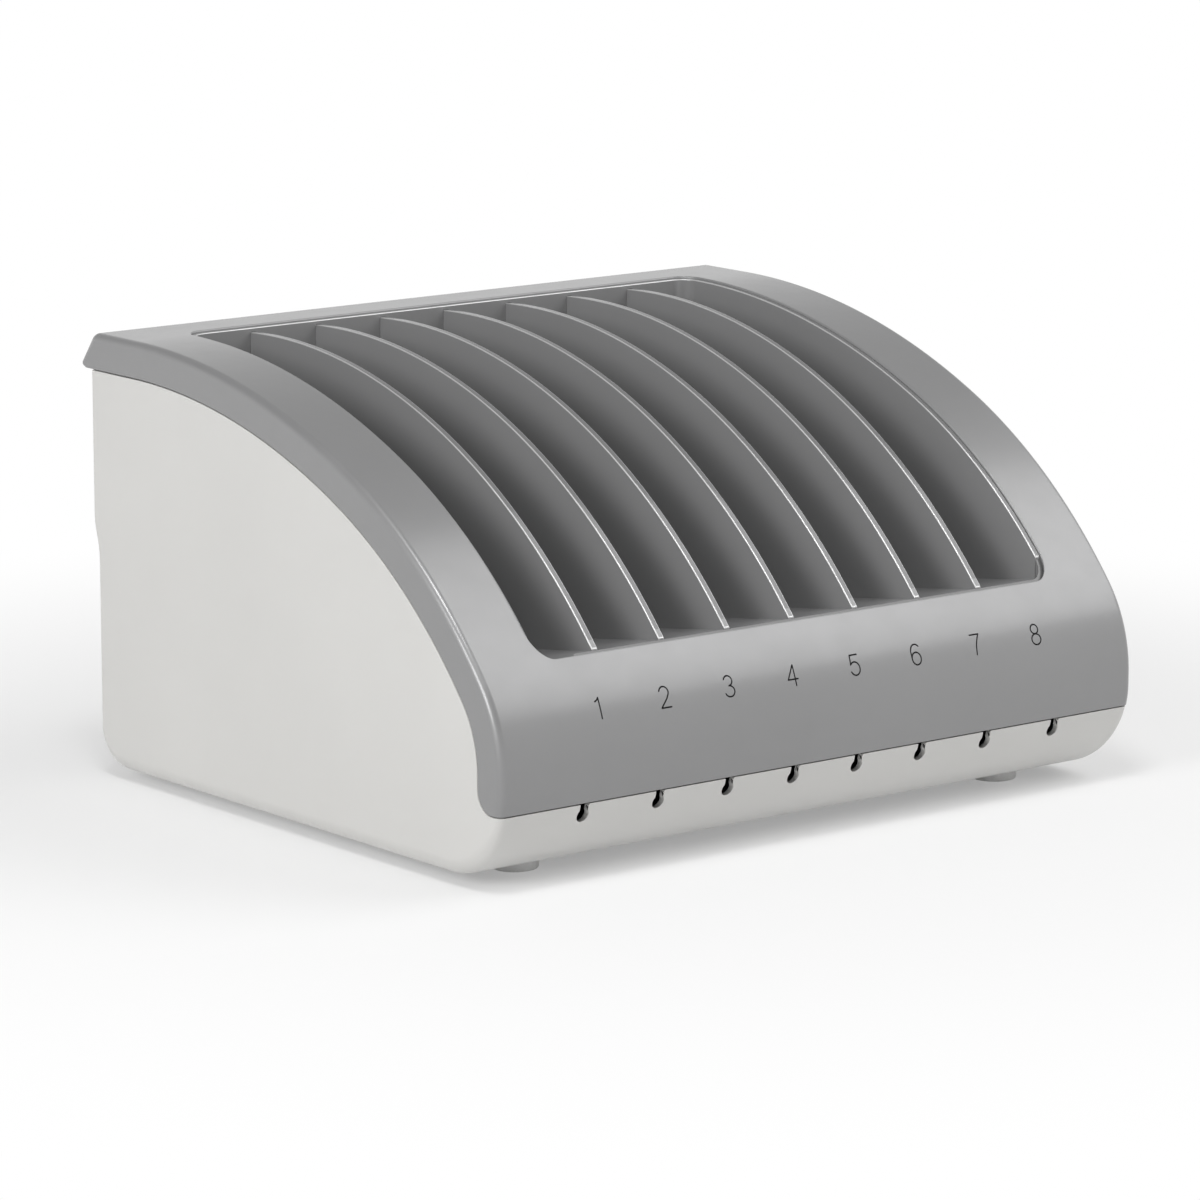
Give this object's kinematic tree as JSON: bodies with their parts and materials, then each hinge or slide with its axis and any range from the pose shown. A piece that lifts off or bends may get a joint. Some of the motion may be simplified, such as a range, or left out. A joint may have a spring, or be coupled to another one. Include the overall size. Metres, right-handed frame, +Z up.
{
  "type": "device charging rack",
  "caption": "Desktop charging rack: a rounded white base with cable notches along its front rim, and a hinged grey cover with upright bays between thin dividers.",
  "frame": {"origin": "under the middle of the rack, on the table", "axes": "+X to the right seen from the front, +Y from the low front to the hinge at the rear, +Z up"},
  "size_m": [0.35, 0.3056, 0.1986],
  "materials": {
    "white_shell": "warm off-white moulding with a fine satin texture",
    "grey_cover": "mid-grey moulding with a fine satin texture",
    "grey_tray": "darker grey moulding with a fine satin texture",
    "dark_plastic": "near-black moulding, satin",
    "foot_rubber": "dark grey rubber, dull",
    "bright_steel": "zinc plated steel",
    "socket_steel": "nickel plated steel shell",
    "board": "green lacquered glass fibre board",
    "transformer_core": "dark varnished core and winding",
    "capacitor_can": "blue sleeved cans",
    "bare_aluminium": "plain extruded aluminium",
    "blade_brass": "plated brass"
  },
  "bodies": {
    "base": {"base_shell": "white_shell", "hinge_pin_left": "bright_steel", "hinge_pin_right": "bright_steel", "foot_front_left": "foot_rubber", "foot_front_right": "foot_rubber", "foot_rear_left": "foot_rubber", "foot_rear_right": "foot_rubber", "foot_screws": "bright_steel", "charger_base": "dark_plastic", "charger_lid": "dark_plastic", "charger_screws": "bright_steel", "circuit_board": "board", "usb_socket_1": "socket_steel", "usb_socket_2": "socket_steel", "usb_socket_3": "socket_steel", "usb_socket_4": "socket_steel", "usb_socket_5": "socket_steel", "usb_socket_6": "socket_steel", "usb_socket_7": "socket_steel", "usb_socket_8": "socket_steel", "transformer": "transformer_core", "filter_capacitors": "capacitor_can", "heat_sink": "bare_aluminium", "inlet_housing": "dark_plastic", "inlet_blades": "blade_brass", "switch_body": "dark_plastic", "switch_blades": "blade_brass"},
    "cover": {"cover_frame": "grey_cover", "rack_tray": "grey_tray", "divider_1": "grey_tray", "divider_2": "grey_tray", "divider_3": "grey_tray", "divider_4": "grey_tray", "divider_5": "grey_tray", "divider_6": "grey_tray", "divider_7": "grey_tray", "tray_screws": "bright_steel"},
    "rocker": {"switch_rocker": "dark_plastic"}
  },
  "joints": [
    {"name": "cover_hinge", "type": "hinge", "parent": "base", "child": "cover", "pos_m": [0, 0.1492, 0.1792], "axis": [-1, 0, 0], "range_deg": [0, 100]},
    {"name": "rocker_tilt", "type": "hinge", "parent": "base", "child": "rocker", "pos_m": [-0.04594, 0.1432, 0.0306], "axis": [1, 0, 0], "range_deg": [0, 18]}
  ]
}
